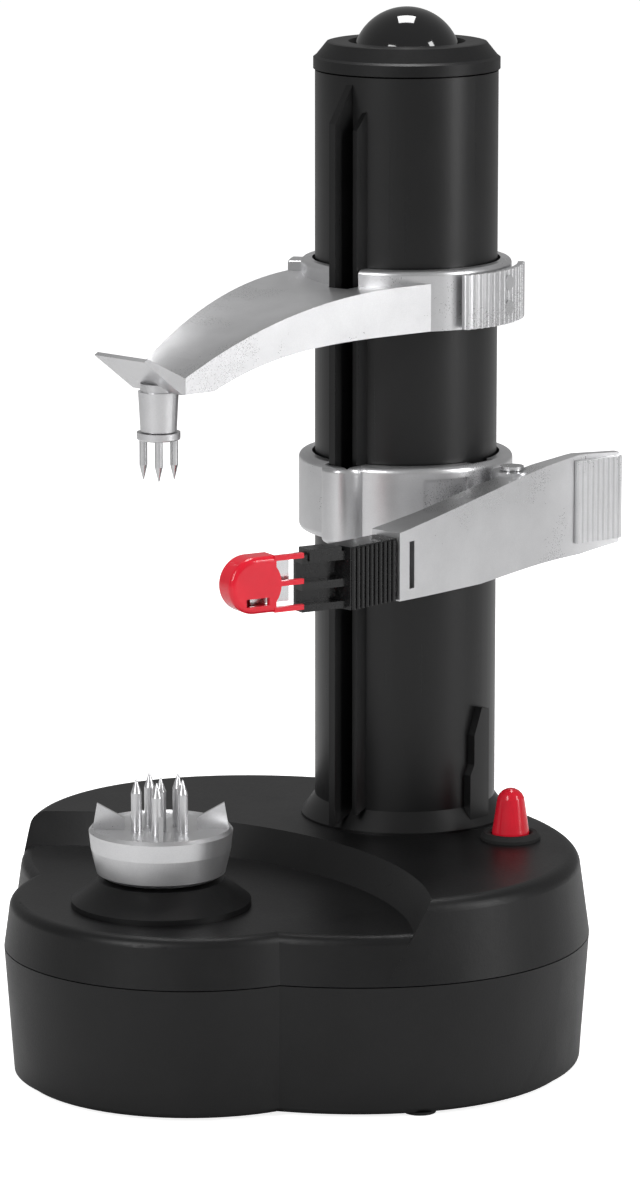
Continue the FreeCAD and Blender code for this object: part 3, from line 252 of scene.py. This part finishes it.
def moulded(name, colour, rough, grain_size, grain_depth, coat=0.0, mottle=0.15):
    """Moulded plastic: a fine even grain in the bump, broad cloudy gloss, faint hairline
    rubs, and a colour that shifts a little with the cloud. grain_size is in metres."""
    material, skin, place = empty_material(name)
    fine = place.noise(0.6 / grain_size, 4.0, Roughness=0.6)
    cloud = place.noise(38.0, 5.0, Roughness=0.62)
    hair = place.mapped((9.0, 260.0, 70.0), Rotation=(0.3, 0.5, 0.9)).noise(5.0, 2.0)
    rub = hair.ramp(0.64, 0.78) * cloud.ramp(0.45, 0.7)
    gloss = rough + (cloud - 0.5) * 0.16 + (fine - 0.5) * 0.10 + rub * 0.09
    pale = rgb(*(min(1.0, part * (1 + mottle) + 0.001) for part in colour[:3]))
    dark = rgb(*(part * (1 - mottle) for part in colour[:3]))
    set_skin(skin, Base_Color=cloud.ramp(0.3, 0.7).paint(dark, pale), Roughness=gloss)
    set_skin(skin, Normal=(fine + rub * -0.3).bump(0.5, grain_depth))
    set_skin(skin, Coat_Weight=coat, Coat_Roughness=0.12, Specular_IOR_Level=0.31)
    return material


def dress(material, *nodes):
    """Give CAD nodes this material in every slot."""
    for node in nodes:
        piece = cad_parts[node]
        if not piece.material_slots:
            piece.data.materials.append(material)
        for place_held in piece.material_slots:
            place_held.material = material


base_black = moulded("base_grained_black", SATIN_BLACK, 0.42, 0.00045, 0.00006)
dress(base_black, "base_cover", "base_tub", "bottom_plate", "holder_skirt")


# Cells and their bay: four standard cells side by side in a grey box on the bottom
# plate, with sprung strip contacts at both ends and a hinged door below.
SLEEVE_EDGE = (-0.0345, -0.0335)

bay_grey = moulded("bay_grey", rgb(0.16, 0.165, 0.175), 0.5, 0.0006, 0.00004)
dress(bay_grey, "battery_case", "spare_blade_box", "gear_plate", "power_switch")
dress(base_black, "battery_door", "spare_blade_door")


def plain_metal(name, colour, rough, streak=(300.0, 300.0, 12.0)):
    """Bare metal: streaks of polishing along one direction, and a cloudy stain."""
    material, skin, place = empty_material(name)
    lines = place.mapped(streak).noise(6.0, 4.0)
    cloud = place.noise(90.0, 4.0)
    dull = rgb(*(part * 0.88 for part in colour[:3]))
    gloss = rough + (lines - 0.5) * 0.18 + (cloud - 0.5) * 0.12
    set_skin(skin, Base_Color=cloud.ramp(0.35, 0.75).paint(colour, dull), Roughness=gloss)
    set_skin(skin, Normal=lines.bump(0.35, 0.00001), Metallic=1.0)
    return material


spring_steel = plain_metal("spring_steel", rgb(0.42, 0.42, 0.44), 0.3)
bright_steel = plain_metal("bright_steel", rgb(0.62, 0.62, 0.63), 0.24)
dress(spring_steel, "battery_contacts")

cell_sleeve, skin, place = empty_material("cell_sleeve")
band = place.node("ShaderNodeSeparateXYZ", {"Vector": place}, out="Y").ramp(*SLEEVE_EDGE)
ink = place.noise(220.0, 3.0)
set_skin(skin, Base_Color=band.paint(rgb(0.035, 0.06, 0.12), rgb(0.55, 0.33, 0.09)))
set_skin(skin, Roughness=0.26 + (ink - 0.5) * 0.14, Metallic=band.ramp(0.2, 0.8, 0.1, 0.55))
set_skin(skin, Normal=ink.bump(0.2, 0.00003), Coat_Weight=0.4, Coat_Roughness=0.1)
dress(cell_sleeve, "batteries")


# Spare blades: two thin strips of ground steel in their own box beside the cells.
# The box has a small hinged door of its own.
dress(bright_steel, "spare_blades")


# Feet and screws: seven black rubber pads under the plate, and small plated
# screws up through the plate into the cover's posts.
rubber = moulded("foot_rubber", rgb(0.016, 0.016, 0.016), 0.72, 0.0003, 0.00006)
dress(rubber, "rubber_feet")
dress(bright_steel, "base_screws", "plate_screws")


# Drive train: a grey frame plate with steel axles and turned brass bushes, nylon
# spur wheels, and a small brass pinion on the motor's shaft.
turned_brass = plain_metal("turned_brass", rgb(0.72, 0.52, 0.22), 0.28, (40.0, 40.0, 500.0))
dress(turned_brass, "shaft_bushes", "motor_pinion")
dress(bright_steel, "gear_axles", "motor_shaft", "holder_shaft")
nylon = moulded("wheel_nylon", rgb(0.62, 0.61, 0.56), 0.38, 0.0005, 0.00003, 0.1, 0.05)
dress(nylon, "first_gear", "idler_gear", "holder_gear", "screw_gear")
plated_can = plain_metal("motor_can", rgb(0.50, 0.50, 0.48), 0.34, (60.0, 60.0, 60.0))
dress(plated_can, "motor")


# Food holder: a moulded cup with four fins and a ring of pins, painted with the
# same satin silver as both arms. It is pressed on the flat of the holder shaft.
silver_paint, skin, place = empty_material("satin_silver_paint")
flakes = place.node("ShaderNodeTexVoronoi", {"Vector": place, "Scale": 5200.0}, out="Color")
glint = flakes.node("ShaderNodeSeparateColor", {"Color": flakes})
haze = place.noise(45.0, 5.0, Roughness=0.6)
peel = place.noise(900.0, 2.0)
tone = glint * 0.35 + haze.ramp(0.3, 0.75) * 0.65
set_skin(skin, Base_Color=tone.paint(rgb(0.58, 0.58, 0.59), rgb(0.72, 0.72, 0.73)))
set_skin(skin, Metallic=glint.ramp(0.1, 0.9, 0.72, 0.92))
set_skin(skin, Roughness=0.28 + (haze - 0.5) * 0.12 + glint * 0.06)
set_skin(skin, Normal=(peel + glint * 0.25).bump(0.25, 0.00003))
set_skin(skin, Coat_Weight=0.18, Coat_Roughness=0.2)
dress(silver_paint, "food_holder", "holder_pins")


# Column: one smooth black moulding, with the guide rail and the cam rib. The rings
# that slide on it leave it a little polished over their travel.
LOWEST_RUB = (0.085, 0.10)
HIGHEST_RUB = (0.262, 0.272)

column_black, skin, place = empty_material("column_black")
height = place.node("ShaderNodeSeparateXYZ", {"Vector": place}, out="Z")
fine = place.noise(2200.0, 3.0)
cloud = place.noise(30.0, 5.0)
drawn = place.mapped((420.0, 420.0, 5.0)).noise(3.0, 2.0)
travel = height.ramp(*LOWEST_RUB) * (1 - height.ramp(*HIGHEST_RUB))
worn = travel * drawn.ramp(0.55, 0.75)
mottled = cloud.ramp(0.3, 0.7).paint(rgb(0.0040, 0.0040, 0.0042), rgb(0.0058, 0.0058, 0.0061))
gloss = 0.34 + (cloud - 0.5) * 0.12 + (fine - 0.5) * 0.06 - worn * 0.07
set_skin(skin, Base_Color=mottled, Roughness=gloss, Specular_IOR_Level=0.4)
set_skin(skin, Normal=(fine + worn * -0.2).bump(0.3, 0.00003))
dress(column_black, "column")
dress(base_black, "column_cap")


# Cap dome: a polished black ball top set in the cap's recess. Only a faint film
# of handling breaks its gloss.
gloss_black, skin, place = empty_material("gloss_black")
film = place.noise(60.0, 4.0)
set_skin(skin, Base_Color=film.ramp(0.3, 0.8).paint(rgb(0.004, 0.004, 0.004), rgb(0.007, 0.007, 0.0075)))
set_skin(skin, Roughness=0.05 + film.ramp(0.45, 0.8) * 0.05)
set_skin(skin, Coat_Weight=0.5, Coat_Roughness=0.03)
dress(gloss_black, "cap_dome")


# Feed screw: a plain steel rod in the column, with a nylon bush at its top and
# a nylon half nut beside it on the carriage.
dress(bright_steel, "lead_screw")
dress(nylon, "screw_bush", "half_nut")


# Upper arm: the ring, its arch and the release pad are silver. The tapered spindle
# under the arm's end turns freely, with steel pins for the top of the food.
dress(silver_paint, "upper_arm", "release_pad", "top_spindle")
dress(bright_steel, "spindle_pins")


# Carriage and blade arm: the lower ring carries the arm on a steel pin, and the
# thumb pad is on the arm's far end.
dress(silver_paint, "carriage", "blade_arm", "thumb_pad")
dress(bright_steel, "pivot_pin")


# Blade cartridge: a black ribbed block with webs, and a glossy red guard over
# the steel blade.
block_black = moulded("block_black", rgb(0.009, 0.009, 0.0095), 0.28, 0.0005, 0.00003, 0.15)
gloss_red = moulded("gloss_red", rgb(0.78, 0.010, 0.030), 0.2, 0.0009, 0.00002, 0.35, 0.08)
dress(block_black, "blade_holder")
dress(gloss_red, "blade_guard")
dress(bright_steel, "peeling_blade")


# Button and inlet: a glossy red button in a rubber bezel on the cover, and a black
# inlet for the supply at the back.
dress(gloss_red, "power_button")
dress(rubber, "button_bezel")
dress(block_black, "power_inlet")


# Springs: a short coil round the arm's pivot pin, and the button's return spring on
# the switch. Both are wound from round steel wire, and their end turns lie flat.
STEPS_PER_TURN = 36
WIRE_SIDES = 12
FLAT_ENDS = 0.6


def wire_coil(name, centre, radius, wire, low, high, turns):
    """A round wire along a helix: at angle t the wire's middle is at the coil's radius,
    and climbs as t less a sine of the whole rise, so that both end turns lie flat."""
    share = np.linspace(0.0, 1.0, turns * STEPS_PER_TURN + 1)[:, None]
    wire_angle = np.linspace(0.0, 2 * np.pi, WIRE_SIDES, endpoint=False)[None, :]
    turned = share * turns * 2 * np.pi
    climb = share - FLAT_ENDS * np.sin(2 * np.pi * share) / (2 * np.pi)
    out = radius + wire * np.cos(wire_angle)
    rise = low + wire + (high - low - 2 * wire) * climb + wire * np.sin(wire_angle)
    x = centre[0] + out * np.cos(turned)
    y = centre[1] + out * np.sin(turned)
    made = grid_object(name, np.stack([x, y, rise], -1), tube=True)
    shell = bmesh.new()
    shell.from_mesh(made.data)
    bmesh.ops.recalc_face_normals(shell, faces=shell.faces)
    shell.to_mesh(made.data)
    shell.free()
    made.data.materials.append(spring_steel)
    return made


pivot_coil = wire_coil("pivot_coil", (0.037, 0.004), 0.0029, 0.00035, 0.1406, 0.1437, turns=3)
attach(pivot_coil, "slider")
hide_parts("arm_spring")

BUTTON_SPRING_FOOT = 0.0505
BUTTON_SPRING_TOP = 0.0599
return_coil = wire_coil(
    "return_coil", (0.0445, -0.004), 0.003, 0.0003, BUTTON_SPRING_FOOT, BUTTON_SPRING_TOP, turns=5
)
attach(return_coil, "base")
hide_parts("button_spring")
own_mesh(return_coil)
